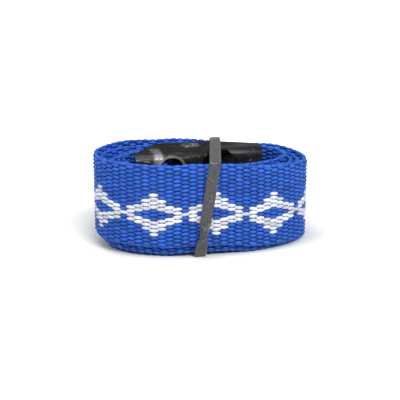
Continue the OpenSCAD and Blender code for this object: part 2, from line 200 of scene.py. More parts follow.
def roll_lift(u, x):
    settled = smooth((u - SETTLE_FROM) / SETTLE_TURNS)
    a = 180 - 360 * u
    on_band = BAND_LIFT * (1 - smooth((abs(x) - BAND_LIFT_HALF) / BAND_LIFT_L)) * settled
    pressed = BAND_PRESS * (1 - smooth(abs(x - BAND_PRESS_X) / BAND_PRESS_L))
    if math.sin(math.radians(a)) <= 0:
        pressed = 0.0
    slipped = (slip(a) - pressed) * smooth((u - SLIP_FROM) / SLIP_TURNS)
    rise = smooth((u - TAIL_FROM) / TAIL_FADE) * (1 - smooth((u - TAIL_TO) / TAIL_FADE))
    return LOOP_LIFT * (1 - settled) + on_band + slipped + TAIL_RISE * rise


def lead_points(steps):
    a = on_frame(0, FRONT_T)
    d = roll_point(LEAD_TURN)
    b = a + (on_frame(-1, 0) - on_frame(0, 0)) * LEAD_REACH
    back = (roll_point(LEAD_TURN - TURN_STEP) - roll_point(LEAD_TURN + TURN_STEP)).normalized()
    c = d + back * JOIN_REACH
    points = []
    for i in range(steps + 1):
        t = i / steps
        q = 1 - t
        points.append(a * q ** 3 + b * 3 * t * q * q + c * 3 * t * t * q + d * t ** 3)
    return points


def loop_points():
    """Round the frame's end bar, from the sewn end to the long leg."""
    mid = (INNER_T + FRONT_T) / 2
    points = [on_frame(s, INNER_T) for s in LOOP_STATIONS]
    for i in range(21):
        a = math.radians(9 * i)
        points.append(on_frame(LOOP_S + LOOP_R * math.sin(a), mid + LOOP_R * math.cos(a)))
    return points + [on_frame(s, FRONT_T) for s in LOOP_STATIONS[:0:-1]]


def beside(long_leg, k, run):
    """Point of the sewn end next to this one; the two legs close up along the seam."""
    wide = INNER_T - FRONT_T
    apart = wide + (WEB_T + LEG_GAP - wide) * smooth((run - LEG_STAY) / LEG_CLOSE)
    return long_leg[k] + right_of(heading(long_leg, k)) * apart


def pinch(run):
    """How much narrower the webbing is, this far from the loop."""
    return LOOP_NARROW * (1 - smooth(run / PINCH_L))


class Strap:
    """Middle line of the webbing with its lower edge and width, by length along it."""

    def __init__(self):
        lead = lead_points(12)
        count = round((ROLL_TURNS - LEAD_TURN) / TURN_STEP)
        turns = [LEAD_TURN + TURN_STEP * (i + 1) for i in range(count)]
        long_leg = lead + [roll_point(u) for u in turns]
        run = running_length(long_leg)
        sewn = [k for k in range(len(long_leg) - 1, 0, -1) if run[k] <= SEWN_L]
        loop = loop_points()
        self.points = [beside(long_leg, k, run[k]) for k in sewn] + loop + long_leg
        self.sewn_n = len(sewn)
        self.loop_n = len(sewn) + len(loop)
        narrowed = [pinch(run[k]) for k in sewn] + [LOOP_NARROW] * len(loop)
        narrowed += [pinch(r) for r in run]
        lifts = [LOOP_LIFT] * (self.loop_n + len(lead))
        lifts += [roll_lift(u, roll_point(u).x) for u in turns]
        self.lifts = [a + b / 2 for a, b in zip(lifts, narrowed)]
        self.widths = [WEB_W - d for d in narrowed]
        self.run = running_length(self.points)
        self.length = self.run[-1]
        self.turn_run = list(zip([LEAD_TURN] + turns, self.run[self.loop_n + len(lead) - 1:]))

    def run_at_turn(self, turn):
        return min(self.turn_run, key=lambda pair: abs(pair[0] - turn))[1]

    def at(self, run):
        """Place, heading, slope, lower edge and width at this length along the strap."""
        low = min(max(bisect_right(self.run, run) - 1, 0), len(self.run) - 2)
        high = low + 1
        span = self.run[high] - self.run[low]
        f = (run - self.run[low]) / span
        p = self.points[low].lerp(self.points[high], f)
        ahead = heading(self.points, low).lerp(heading(self.points, high), f).normalized()
        lift = self.lifts[low] + (self.lifts[high] - self.lifts[low]) * f
        width = self.widths[low] + (self.widths[high] - self.widths[low]) * f
        slope = (self.lifts[high] - self.lifts[low]) / span
        return p, ahead, slope, lift, width


STRAP = Strap()


# ---- making objects ----
def link_mesh(name, mesh):
    obj = bpy.data.objects.new(name, mesh)
    SCENE.collection.objects.link(obj)
    return obj


def mesh_object(name, verts, faces):
    mesh = bpy.data.meshes.new(name)
    mesh.from_pydata(verts, [], faces)
    mesh.validate()
    mesh.polygons.foreach_set("use_smooth", [True] * len(mesh.polygons))
    return link_mesh(name, mesh)


def swept(name, rings, closed=False, uvs=None):
    """Skin over rings of points, in millimetres; each ring runs round the same way."""
    n, k = len(rings), len(rings[0])
    verts = [Vector(p) * MM for ring in rings for p in ring]
    faces = []
    for i in range(n if closed else n - 1):
        a, b = i * k, (i + 1) % n * k
        for j in range(k):
            m = (j + 1) % k
            faces.append((a + j, a + m, b + m, b + j))
    if not closed:
        faces.append(tuple(range(k - 1, -1, -1)))
        faces.append(tuple(range((n - 1) * k, n * k)))
    obj = mesh_object(name, verts, faces)
    outward(obj.data)
    if uvs:
        layer = obj.data.uv_layers.new(name="weave")
        for face in obj.data.polygons:
            for loop in face.loop_indices:
                layer.data[loop].uv = uvs(obj.data.loops[loop].vertex_index, k)
    return obj


def outward(mesh):
    bm = bmesh.new()
    bm.from_mesh(mesh)
    bmesh.ops.recalc_face_normals(bm, faces=bm.faces)
    bm.to_mesh(mesh)
    bm.free()


def settled(obj, name):
    """Plain mesh of the object with its modifiers applied, in place of the object."""
    SCENE.view_layers[0].update()
    graph = bpy.context.evaluated_depsgraph_get()
    mesh = bpy.data.meshes.new_from_object(
        obj.evaluated_get(graph), preserve_all_data_layers=True, depsgraph=graph)
    bpy.data.objects.remove(obj)
    mesh.name = name
    return link_mesh(name, mesh)


def finish_piece(obj, body, node=None, materials=()):
    for material in materials:
        obj.data.materials.append(material)
    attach(obj, body)
    if node:
        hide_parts(node)
    return obj


def add(tree, kind, inputs=None, **settings):
    """New node; an input is a value or another node's output socket."""
    node = tree.nodes.new(kind)
    for key, value in settings.items():
        setattr(node, key, value)
    for key, value in (inputs or {}).items():
        if isinstance(value, bpy.types.NodeSocket):
            tree.links.new(value, node.inputs[key])
        else:
            node.inputs[key].default_value = value
    return node


# ---- nodes in short ----
def maths(tree, kind, *values):
    return add(tree, "ShaderNodeMath", dict(enumerate(values)), operation=kind).outputs[0]


def vector_maths(tree, kind, *values):
    node = add(tree, "ShaderNodeVectorMath", dict(enumerate(values)), operation=kind)
    return node.outputs["Value" if kind == "LENGTH" else "Vector"]


def ranged(tree, value, low=0.0, high=1.0, to_low=0.0, to_high=1.0):
    """The value stretched from low..high to to_low..to_high, and held at both ends."""
    return add(tree, "ShaderNodeMapRange", {
        "Value": value, "From Min": low, "From Max": high,
        "To Min": to_low, "To Max": to_high}).outputs["Result"]


def noise(tree, place, scale, detail, roughness=0.5):
    return add(tree, "ShaderNodeTexNoise", {
        "Vector": place, "Scale": scale, "Detail": detail,
        "Roughness": roughness}).outputs["Fac"]


def mixed(tree, factor, a, b, blend="MIX"):
    return add(tree, "ShaderNodeMix", {0: factor, 6: a, 7: b},
               data_type="RGBA", blend_type=blend).outputs[2]


def new_group(name, kind, inputs, outputs):
    """Empty group with these sockets: its tree, what it is given and what it gives."""
    tree = bpy.data.node_groups.new(name, kind)
    for label, socket_type, value in inputs:
        socket = tree.interface.new_socket(
            name=label, in_out="INPUT", socket_type=socket_type)
        if value is not None:
            socket.default_value = value
    for label, socket_type in outputs:
        tree.interface.new_socket(name=label, in_out="OUTPUT", socket_type=socket_type)
    start = tree.nodes.new("NodeGroupInput")
    end = tree.nodes.new("NodeGroupOutput")
    return tree, start.outputs, end.inputs


# ---- shader groups shared by the materials ----
def mottle_group():
    """Two colours mixed by soft noise, with the noise itself as a value."""
    tree, given, gives = new_group(
        "mottle", "ShaderNodeTree",
        [("Vector", "NodeSocketVector", None), ("Scale", "NodeSocketFloat", 100.0),
         ("Contrast", "NodeSocketFloat", 0.5), ("Dark", "NodeSocketColor", (0, 0, 0, 1)),
         ("Light", "NodeSocketColor", (1, 1, 1, 1))],
        [("Color", "NodeSocketColor"), ("Value", "NodeSocketFloat")])
    cloud = noise(tree, given["Vector"], given["Scale"], 5.0, 0.6)
    low = maths(tree, "SUBTRACT", 0.5, given["Contrast"])
    high = maths(tree, "ADD", 0.5, given["Contrast"])
    spread = ranged(tree, cloud, low, high)
    tree.links.new(mixed(tree, spread, given["Dark"], given["Light"]), gives["Color"])
    tree.links.new(spread, gives["Value"])
    return tree


def filament_group():
    """Fine fibres that run along U, as a height and as a colour mask."""
    tree, given, gives = new_group(
        "filaments", "ShaderNodeTree",
        [("Vector", "NodeSocketVector", None), ("Along", "NodeSocketFloat", 3.0),
         ("Across", "NodeSocketFloat", 30.0)],
        [("Height", "NodeSocketFloat"), ("Mask", "NodeSocketFloat")])
    stretch = add(tree, "ShaderNodeCombineXYZ", {
        "X": given["Along"], "Y": given["Across"], "Z": 1.0}).outputs[0]
    fibres = noise(tree, vector_maths(tree, "MULTIPLY", given["Vector"], stretch), 1.0, 3.0, 0.55)
    tree.links.new(fibres, gives["Height"])
    tree.links.new(ranged(tree, fibres, 0.35, 0.7), gives["Mask"])
    return tree


def peaks(tree, value, top, amount, soft):
    """1 where the value is over top less amount, fading in over soft."""
    edge = maths(tree, "SUBTRACT", top, amount)
    return ranged(tree, value, edge, maths(tree, "ADD", edge, soft))


def wear_group():
    """Chips and long fine scratches, as one mask from 0 to 1."""
    tree, given, gives = new_group(
        "wear", "ShaderNodeTree",
        [("Vector", "NodeSocketVector", None), ("Chip scale", "NodeSocketFloat", 900.0),
         ("Chips", "NodeSocketFloat", 0.3), ("Scratches", "NodeSocketFloat", 0.3)],
        [("Mask", "NodeSocketFloat")])
    chips = noise(tree, given["Vector"], given["Chip scale"], 6.0, 0.65)
    mask = peaks(tree, chips, 0.78, given["Chips"], 0.06)
    for turn, stretch in ((0.35, (60, 1500, 700)), (-0.8, (90, 1700, 900))):
        lay = add(tree, "ShaderNodeMapping", {
            "Vector": given["Vector"], "Rotation": (0.3, turn, turn), "Scale": stretch})
        lines = noise(tree, lay.outputs[0], 1.0, 2.0)
        cut = peaks(tree, lines, 0.82, given["Scratches"], 0.05)
        mask = maths(tree, "MAXIMUM", mask, cut)
    tree.links.new(mask, gives["Mask"])
    return tree


MOTTLE, FILAMENTS, WEAR = mottle_group(), filament_group(), wear_group()


# ---- materials ----
def new_material(name, **sockets):
    material = bpy.data.materials.new(name)
    material.use_nodes = True
    tree = material.node_tree
    shader = tree.nodes["Principled BSDF"]
    for key, value in sockets.items():
        shader.inputs[key.replace("_", " ")].default_value = value
    return material, tree, shader


def feed(tree, shader, **sockets):
    for key, value in sockets.items():
        tree.links.new(value, shader.inputs[key.replace("_", " ")])


def bump(tree, shader, height, strength, distance):
    node = add(tree, "ShaderNodeBump", {
        "Height": height, "Strength": strength, "Distance": distance})
    feed(tree, shader, Normal=node.outputs[0])


def object_coords(tree):
    return tree.nodes.new("ShaderNodeTexCoord").outputs["Object"]


def group_node(tree, group, **inputs):
    return add(tree, "ShaderNodeGroup", inputs, node_tree=group).outputs


def mottled(tree, scale, contrast, dark, light):
    return group_node(tree, MOTTLE, Vector=object_coords(tree), Scale=scale,
                      Contrast=contrast, Dark=dark, Light=light)


def worn(tree, chips, scratches):
    return group_node(tree, WEAR, Vector=object_coords(tree), Chips=chips,
                      Scratches=scratches)["Mask"]


def fibres_on(tree, uv_map, along, across):
    place = add(tree, "ShaderNodeUVMap", uv_map=uv_map).outputs[0]
    return group_node(tree, FILAMENTS, Vector=place, Along=along, Across=across)


def attribute(tree, name):
    return add(tree, "ShaderNodeAttribute", attribute_name=name).outputs["Fac"]


def yarn_material():
    """Polyester floats: blue with painted shade darkening the tips, or white where the pattern
    is.
    """
    material, tree, shader = new_material(
        "polyester_yarn", Roughness=0.46, Specular_IOR_Level=0.3, Sheen_Weight=0.3,
        Sheen_Roughness=0.5, Sheen_Tint=(0.15, 0.4, 1.0, 1))
    fibres = fibres_on(tree, "yarn", 2.5, 22.0)
    yarn = add(tree, "ShaderNodeUVMap", uv_map="yarn").outputs[0]
    along = add(tree, "ShaderNodeSeparateXYZ", {0: yarn}).outputs["X"]
    dye = mottled(tree, 90.0, 0.35, DYE_DARK, DYE_LIGHT)
    blue = mixed(tree, fibres["Mask"], BLUE_DARK, dye["Color"])
    # painted shade: towards each float's tips, where they dip into the gaps, the blue darkens to
    # the dark blue
    blue = mixed(tree, ranged(tree, along, 0.0, 0.34), BLUE_DARK, blue)
    pale = mixed(tree, fibres["Mask"], WHITE_DULL, WHITE_YARN)
    colour = mixed(tree, attribute(tree, "white"), blue, pale)
    shade = ranged(tree, attribute(tree, "tone"), to_low=0.72, to_high=1.18)
    feed(tree, shader, Base_Color=mixed(tree, 1.0, colour, shade, "MULTIPLY"),
         Roughness=ranged(tree, fibres["Mask"], to_low=0.58, to_high=0.40))
    bump(tree, shader, fibres["Height"], 0.35, 0.0001)
    return material


def ground_weave_material():
    """The ribbon under the floats: warp ends seen in the gaps, matt, and coloured dark as painted
    shade for the gaps.
    """
    material, tree, shader = new_material(
        "webbing_ground", Roughness=0.7, Specular_IOR_Level=0.2)
    fibres = fibres_on(tree, "weave", 1.2, 9.0)
    feed(tree, shader, Base_Color=mixed(tree, fibres["Mask"], BLUE_GAP_SHADE, BLUE_DARK))
    bump(tree, shader, fibres["Height"], 0.6, 0.0002)
    return material


def thread_material():
    material, tree, shader = new_material("sewing_thread", Roughness=0.5)
    fibres = fibres_on(tree, "yarn", 6.0, 10.0)
    feed(tree, shader, Base_Color=mixed(tree, fibres["Mask"], WHITE_DULL, WHITE_YARN))
    bump(tree, shader, fibres["Height"], 0.4, 0.0001)
    return material


def sealed_end_material():
    """Webbing melted shut at its cut end: glossy, darker, with small beads."""
    material, tree, shader = new_material("melted_webbing", Roughness=0.28)
    cloud = mottled(tree, 900.0, 0.2, MELTED, BLUE_DARK)
    feed(tree, shader, Base_Color=cloud["Color"])
    bump(tree, shader, cloud["Value"], 0.5, 0.0002)
    return material


def local_coords(tree):
    """Frame coordinates in millimetres: X along it, Y back from its face, Z up."""
    place = turned(-FRAME_X, -FRAME_Y, -FRAME_YAW)
    return add(tree, "ShaderNodeMapping", {
        "Vector": object_coords(tree), "Scale": (1 / MM, 1 / MM, 1 / MM),
        "Rotation": (0, 0, math.radians(-FRAME_YAW)),
        "Location": (place.x, place.y, -FRAME_Z)}).outputs[0]


def near(tree, value, middle, half, soft):
    """1 where value is within half of middle, fading to 0 over soft beyond it."""
    away = maths(tree, "ABSOLUTE", maths(tree, "SUBTRACT", value, middle))
    return ranged(tree, away, half, half + soft, 1.0, 0.0)


def slot_rim(tree, local):
    """1 on the rolled rim: within a rim's width of the slot's rounded outline."""
    centred = vector_maths(tree, "SUBTRACT", local, (SLOT_MID, 0, FRAME_W / 2))
    straight = (SLOT_L / 2 - SLOT_R, ANY_DEPTH, FRAME_W / 2 - SLOT_EDGE - SLOT_R)
    past = vector_maths(tree, "SUBTRACT", vector_maths(tree, "ABSOLUTE", centred), straight)
    reach = vector_maths(tree, "LENGTH", vector_maths(tree, "MAXIMUM", past, (0, 0, 0)))
    return ranged(tree, reach, SLOT_R + RIM_OUT, SLOT_R + RIM_IN)


def scuff_mask(tree, local, x, y, z):
    """1 on the ragged, broken patch that is rubbed bare beside the slot."""
    shift = maths(tree, "MULTIPLY_ADD", noise(tree, local, 0.9, 6.0, 0.7), 3.4, x)
    mask = maths(tree, "MULTIPLY", near(tree, shift, *SCUFF_X), near(tree, z, *SCUFF_Z))
    mask = maths(tree, "MULTIPLY", mask, near(tree, y, *SCUFF_Y))
    broken = ranged(tree, noise(tree, local, 4.0, 5.0, 0.75), 0.36, 0.58, 0.25)
    return maths(tree, "MULTIPLY", mask, broken)


def coated_steel_material():
    """Black electro-coated sheet: scuffed bare beside the slot, bronze on the rolled rim."""
    material, tree, shader = new_material(
        "black_coated_steel", Roughness=0.36, Specular_IOR_Level=0.25)
    local = local_coords(tree)
    x, y, z = add(tree, "ShaderNodeSeparateXYZ", {0: local}).outputs
    coat = mottled(tree, 420.0, 0.3, COAT_DARK, COAT_LIGHT)
    bare = maths(tree, "MAXIMUM", scuff_mask(tree, local, x, y, z), worn(tree, 0.155, 0.12))
    rim = maths(tree, "MULTIPLY", slot_rim(tree, local), near(tree, y, *RIM_Y))
    colour = mixed(tree, rim, coat["Color"], RIM_BRONZE)
    feed(tree, shader, Base_Color=mixed(tree, bare, colour, BARE_STEEL),
         Metallic=ranged(tree, bare, to_high=0.55),
         Roughness=ranged(tree, coat["Value"], to_low=0.30, to_high=0.46))
    bump(tree, shader, coat["Value"], 0.25, 0.00008)
    return material


def worn_edge_material():
    """Edges where the coat is rubbed thin, bare metal in patches."""
    material, tree, shader = new_material("worn_steel_edge", Roughness=0.34)
    patch = mottled(tree, 700.0, 0.16, EDGE_COAT, EDGE_STEEL)
    feed(tree, shader, Base_Color=patch["Color"],
         Metallic=ranged(tree, patch["Value"], to_high=0.5))
    return material


def cast_material():
    """Die-cast cam and lever under a black coat, slightly grainy."""
    material, tree, shader = new_material("black_casting", Roughness=0.5)
    coat = mottled(tree, 1400.0, 0.25, CAST_DARK, CAST_LIGHT)
    feed(tree, shader, Base_Color=mixed(tree, worn(tree, 0.14, 0.1), coat["Color"], CAST_BARE),
         Roughness=ranged(tree, coat["Value"], to_low=0.42, to_high=0.6))
    bump(tree, shader, coat["Value"], 0.4, 0.00006)
    return material


def pin_material():
    """Steel rivet, oiled and dulled, with bright chips and scratches: partly real wear, partly
    painted highlight.
    """
    material, tree, shader = new_material("dulled_pin_steel", Roughness=0.34)
    stain = mottled(tree, 520.0, 0.25, PIN_DARK, PIN_LIGHT)
    wear = worn(tree, 0.2, 0.16)
    # the bright bare colour of the chips and scratches is bare steel and also a painted highlight
    feed(tree, shader, Base_Color=mixed(tree, wear, stain["Color"], PIN_BARE_GLINT),
         Roughness=ranged(tree, stain["Value"], to_low=0.42, to_high=0.28))
    bump(tree, shader, wear, 0.2, 0.00005)
    return material


def wire_material():
    material, tree, shader = new_material("spring_steel_wire", Metallic=0.9)
    drawn = mottled(tree, 1600.0, 0.2, WIRE_DARK, WIRE_LIGHT)
    feed(tree, shader, Base_Color=drawn["Color"],
         Roughness=ranged(tree, drawn["Value"], to_low=0.45, to_high=0.26))
    return material


def rubber_material():
    """Dusty grey rubber: mottled, with pale specks."""
    material, tree, shader = new_material(
        "grey_rubber", Roughness=0.42, Specular_IOR_Level=0.6, Sheen_Weight=0.3,
        Sheen_Roughness=0.4)
    cloud = mottled(tree, 1300.0, 0.22, RUBBER_DARK, RUBBER_LIGHT)
    specks = add(tree, "ShaderNodeTexVoronoi", {"Vector": object_coords(tree), "Scale": 900.0})
    pale = ranged(tree, specks.outputs["Distance"], 0.16, 0.08)
    feed(tree, shader, Base_Color=mixed(tree, pale, cloud["Color"], DUST))
    bump(tree, shader, cloud["Value"], 0.35, 0.0001)
    return material


# ---- Geometry Nodes: yarn floats and stitches ----
def seat_vector(tree, name):
    return add(tree, "GeometryNodeInputNamedAttribute", {"Name": name},
               data_type="FLOAT_VECTOR").outputs["Attribute"]


def random_vector(tree, low, high, seed):
    return add(tree, "FunctionNodeRandomValue", {"Min": low, "Max": high, "Seed": seed},
               data_type="FLOAT_VECTOR").outputs[0]


def grain_scale(tree, given):
    """The shared size times the seat's own, a little uneven."""
    size = add(tree, "ShaderNodeCombineXYZ", {
        "X": given["Length"], "Y": given["Bulge"], "Z": given["Height"]}).outputs[0]
    half = add(tree, "ShaderNodeVectorMath", {0: size, "Scale": MM / 2}, operation="SCALE")
    sized = vector_maths(tree, "MULTIPLY", half.outputs[0], seat_vector(tree, "size"))
    small = maths(tree, "SUBTRACT", 1.0, given["Size spread"])
    large = maths(tree, "ADD", 1.0, given["Size spread"])
    uneven = random_vector(tree, small, large, given["Seed"])
    return vector_maths(tree, "MULTIPLY", sized, uneven)


def grain_rotation(tree, given):
    """The seat's own turn, then a small tilt."""
    other = maths(tree, "MULTIPLY", given["Tilt spread"], -1.0)
    tilt = random_vector(tree, other, given["Tilt spread"], given["Seed"])
    turned_by = add(tree, "FunctionNodeEulerToRotation", {0: seat_vector(tree, "turn")})
    tilted_by = add(tree, "FunctionNodeEulerToRotation", {0: tilt})
    return add(tree, "FunctionNodeRotateRotation", {
        0: turned_by.outputs[0], 1: tilted_by.outputs[0]},
        rotation_space="LOCAL").outputs[0]


def float_tree():
    """One grain on every seat point, turned and sized by the seat, a little unevenly."""
    tree, given, gives = new_group(
        "yarn_floats", "GeometryNodeTree",
        [("Geometry", "NodeSocketGeometry", None), ("Grain", "NodeSocketObject", None),
         ("Length", "NodeSocketFloat", FLOAT_L), ("Height", "NodeSocketFloat", FLOAT_H),
         ("Bulge", "NodeSocketFloat", 0.8), ("Size spread", "NodeSocketFloat", 0.05),
         ("Tilt spread", "NodeSocketFloat", 0.06), ("Seed", "NodeSocketInt", 1),
         ("Yarn", "NodeSocketMaterial", None)],
        [("Geometry", "NodeSocketGeometry")])
    grain = add(tree, "GeometryNodeObjectInfo", {"Object": given["Grain"]})
    grains = add(tree, "GeometryNodeInstanceOnPoints", {
        "Points": given["Geometry"], "Instance": grain.outputs["Geometry"],
        "Rotation": grain_rotation(tree, given), "Scale": grain_scale(tree, given)})
    tone = add(tree, "FunctionNodeRandomValue", {"Seed": given["Seed"]}, data_type="FLOAT")
    toned = add(tree, "GeometryNodeStoreNamedAttribute", {
        "Geometry": grains.outputs[0], "Name": "tone", "Value": tone.outputs[1]},
        data_type="FLOAT", domain="INSTANCE")
    solid = add(tree, "GeometryNodeRealizeInstances", {"Geometry": toned.outputs[0]})
    dyed = add(tree, "GeometryNodeSetMaterial", {
        "Geometry": solid.outputs[0], "Material": given["Yarn"]})
    tree.links.new(dyed.outputs[0], gives["Geometry"])
    return tree


FLOAT_TREE = float_tree()


GRAIN_ROUND = 0.72      # under 1 makes the grain blunter towards its tips


def grain_shape(name, sides, stations, fullness):
    """A plump grain from -1 to 1 along X, pointed at both ends, with its own yarn map."""
    rings = [-1 + 2 * (i + 1) / (stations + 1) for i in range(stations)]
    verts = [(-1, 0, 0)]
    for x in rings:
        r = (1 - abs(x) ** fullness) ** GRAIN_ROUND
        for k in range(sides):
            a = 2 * math.pi * k / sides
            verts.append((x, r * math.cos(a), r * math.sin(a)))
    verts.append((1, 0, 0))
    faces = []
    last = len(verts) - 1
    for k in range(sides):
        m = (k + 1) % sides
        faces.append((0, 1 + m, 1 + k))
        end = 1 + (stations - 1) * sides
        faces.append((last, end + k, end + m))
        for i in range(stations - 1):
            a = 1 + i * sides
            faces.append((a + k, a + m, a + sides + m, a + sides + k))
    obj = mesh_object(name, verts, faces)
    outward(obj.data)
    layer = obj.data.uv_layers.new(name="yarn")
    for face in obj.data.polygons:
        for loop in face.loop_indices:
            co = obj.data.vertices[obj.data.loops[loop].vertex_index].co
            layer.data[loop].uv = (1 - abs(co.x), 0.5 + co.z / 2)
    return obj


def set_input(modifier, tree, label, value):
    for item in tree.interface.items_tree:
        if item.in_out == "INPUT" and item.name == label:
            modifier[item.identifier] = value


def grown(name, seats, grain, material, seed, **sizes):
    """Floats on the seats: (place, turn, size, white) with places in millimetres."""
    mesh = bpy.data.meshes.new(name)
    mesh.from_pydata([tuple(s[0] * MM) for s in seats], [], [])
    for label, kind, column in (("turn", "FLOAT_VECTOR", 1), ("size", "FLOAT_VECTOR", 2),
                                ("white", "FLOAT", 3)):
        layer = mesh.attributes.new(label, kind, "POINT")
        for i, seat in enumerate(seats):
            if kind == "FLOAT":
                layer.data[i].value = seat[column]
            else:
                layer.data[i].vector = seat[column]
    obj = link_mesh(name + "_seats", mesh)
    modifier = obj.modifiers.new("floats", "NODES")
    modifier.node_group = FLOAT_TREE
    set_input(modifier, FLOAT_TREE, "Grain", grain)
    set_input(modifier, FLOAT_TREE, "Yarn", material)
    set_input(modifier, FLOAT_TREE, "Seed", seed)
    for label, value in sizes.items():
        set_input(modifier, FLOAT_TREE, label.replace("_", " "), value)
    made = settled(obj, name)
    for label in ("turn", "size"):
        if label in made.data.attributes:
            made.data.attributes.remove(made.data.attributes[label])
    return made


# ---- webbing ----
def core_section(width):
    """Rounded rectangle across the webbing: (out, up) pairs."""
    r = CORE_HALF * CORE_ROUND
    side, low, high = CORE_HALF - r, CORE_IN + r, width - CORE_IN - r
    points = []
    for cx, cz, a0 in ((side, high, 0), (-side, high, 90), (-side, low, 180), (side, low, 270)):
        for a in (0, 30, 60, 90):
            t = math.radians(a0 + a)
            points.append((cx + r * math.cos(t), cz + r * math.sin(t)))
    return points


def webbing_core():
    rings = []
    ends = (0, len(STRAP.points) - 1)
    for i, p in enumerate(STRAP.points):
        out = -right_of(heading(STRAP.points, i))
        share = 1 - CORE_END if i in ends else 1
        ring = []
        for o, z in core_section(STRAP.widths[i]):
            spot = p + out * o * share
            ring.append((spot.x, spot.y, STRAP.lifts[i] + z))
        rings.append(ring)
    heights = [z for _, z in core_section(WEB_W)]

    def weave_place(vertex, k):
        return (STRAP.run[vertex // k], heights[vertex % k])

    return swept("webbing_core", rings, uvs=weave_place)


def is_white(column, row):
    """A chain of hollow diamonds in the pattern's band."""
    half = MOTIF_COLUMNS // 2
    c = abs((column + half) % MOTIF_COLUMNS - half)
    r = abs(row - MOTIF_ROW)
    inside = c / DIAMOND[0] + r / DIAMOND[1] <= 1
    hollow = c / HOLLOW[0] + r / HOLLOW[1] < 1
    return 1.0 if inside and not hollow else 0.0


def seat(run, face, height, proud, size, white):
    """Seat of one float: face is 1 outside, -1 inside and 0 astride the edge."""
    p, ahead, slope, lift, _ = STRAP.at(min(max(run, 0.1), STRAP.length - 0.1))
    out = -right_of(ahead) * proud * face
    place = Vector((p.x + out.x, p.y + out.y, lift + height))
    turn = (0.0, -math.atan(slope), math.atan2(ahead.y, ahead.x))
    return place, turn, size, white


def weave_seats():
    """Seats by region: the outer face that shows, the other faces and the two edges."""
    outer, inner, laps, edges = [], [], [], []
    columns = int(STRAP.length / COLUMN)
    start_outer = STRAP.run_at_turn(ROLL_TURNS - 1.0) - OUTER_LEAD
    first_motif = round(STRAP.run_at_turn(MOTIF_FROM) / STRAP.length * columns / 2) * 2
    sewn_run = STRAP.run[STRAP.loop_n]
    inner_end = STRAP.run_at_turn(INSIDE_TO)
    for i in range(columns):
        run = (i + 0.5) * STRAP.length / columns
        width = STRAP.at(run)[4]
        pitch = (width - 2 * ROW_IN) / (ROWS - 1)
        odd = i % 2
        patterned = i >= first_motif - MOTIF_COLUMNS // 2
        for height in (EDGE_IN, width - EDGE_IN):
            edges.append(seat(run, 0, height, 0, EDGE_SIZE, 0.0))
        for row in range(1, ROWS - 1 + odd):
            height = ROW_IN + pitch * (row - odd / 2)
            from_edge = min(row, ROWS - 1 - row + odd)
            white = is_white(i - first_motif, row - odd / 2) if patterned else 0.0
            size = WHITE_SIZE if white else BLUE_SIZE
            if run > start_outer:
                outer.append(seat(run, 1, height, PROUD_OUT, size, white))
            elif run < sewn_run or from_edge < LAP_ROWS:
                laps.append(seat(run, 1, height, PROUD_IN, size, 0.0))
            if run < inner_end:
                inner.append(seat(run, -1, height, PROUD_IN, size, 0.0))
            elif run < sewn_run or from_edge < LAP_ROWS:
                laps.append(seat(run, -1, height, PROUD_IN, size, 0.0))
    return outer, inner, laps, edges


def sealed_end():
    """Melted lip across the free end of the strap, thinner towards both edges."""
    rings = []
    dice = random.Random(31)
    steps, sides = 40, 10
    p, ahead, _, lift, width = STRAP.at(STRAP.length - 0.05)
    out = -right_of(ahead)
    for i in range(steps + 1):
        f = i / steps
        z = lift + LIP_IN + (width - 2 * LIP_IN) * f
        fade = min(1.0, 0.45 + 6 * min(f, 1 - f))
        wide = (LIP_WIDE + dice.uniform(-0.06, 0.06)) * fade
        deep = (LIP_DEEP + dice.uniform(-0.1, 0.12)) * fade
        ring = []
        for k in range(sides):
            a = 2 * math.pi * k / sides
            spot = p + out * wide * math.cos(a) + ahead * deep * math.sin(a)
            ring.append((spot.x, spot.y, z))
        rings.append(ring)
    return swept("sealed_end", rings)


def build_webbing():
    yarn = yarn_material()
    core = finish_piece(webbing_core(), "roll", "webbing_strap",
                        [ground_weave_material()])
    plump = grain_shape("plump_grain", 8, 7, 2.2)
    plain = grain_shape("plain_grain", 6, 3, 2.2)
    outer, inner, laps, edges = weave_seats()
    pieces = [
        grown("floats_outer_lap", outer, plump, yarn, 3, Bulge=1.06),
        grown("floats_inside_roll", inner, plain, yarn, 5),
        grown("floats_between_laps", laps, plain, yarn, 7),
        grown("selvedge_floats", edges, plump, yarn, 9),
    ]
    for grain in (plump, plain):
        bpy.data.objects.remove(grain)
    tip = finish_piece(sealed_end(), "roll", None, [sealed_end_material()])
    for piece in pieces:
        finish_piece(piece, "roll")


# ---- stitching of the sewn end ----
def build_stitching():
    grain = grain_shape("stitch_grain", 8, 5, 3.2)
    start, stop = STRAP.run[2], STRAP.run[STRAP.sewn_n - 1] - STITCH_STOP
    seats = []
    for k, height in enumerate(STITCH_ROWS):
        for i in range(int((stop - start) / STITCH)):
            run = start + (i + 0.5 * (k % 2)) * STITCH
            z = LOOP_LIFT + height + STITCH_UP - STRAP.at(run)[3]
            seats.append(seat(run, 1, z, WEB_T / 2 + STITCH_PROUD, (1.0, 1.0, 1.0), 1.0))
    thread = grown("bar_stitches", seats, grain, thread_material(), 11,
                   Length=1.75, Height=0.5, Bulge=0.42, Tilt_spread=0.05)
    bpy.data.objects.remove(grain)
    finish_piece(thread, "roll", "loop_stitching")


# ---- steel parts from the CAD's own solids ----
WELD_M = 4e-6                   # vertices closer than this, in metres, are one
FLAT_ANGLE, BEVEL_ANGLE, SHARP_ANGLE = math.radians(1.5), math.radians(38), math.radians(42)
RIVET_SHARP_ANGLE = math.radians(40)
FRAME_BEVEL, LEVER_BEVEL = 0.14, 0.16


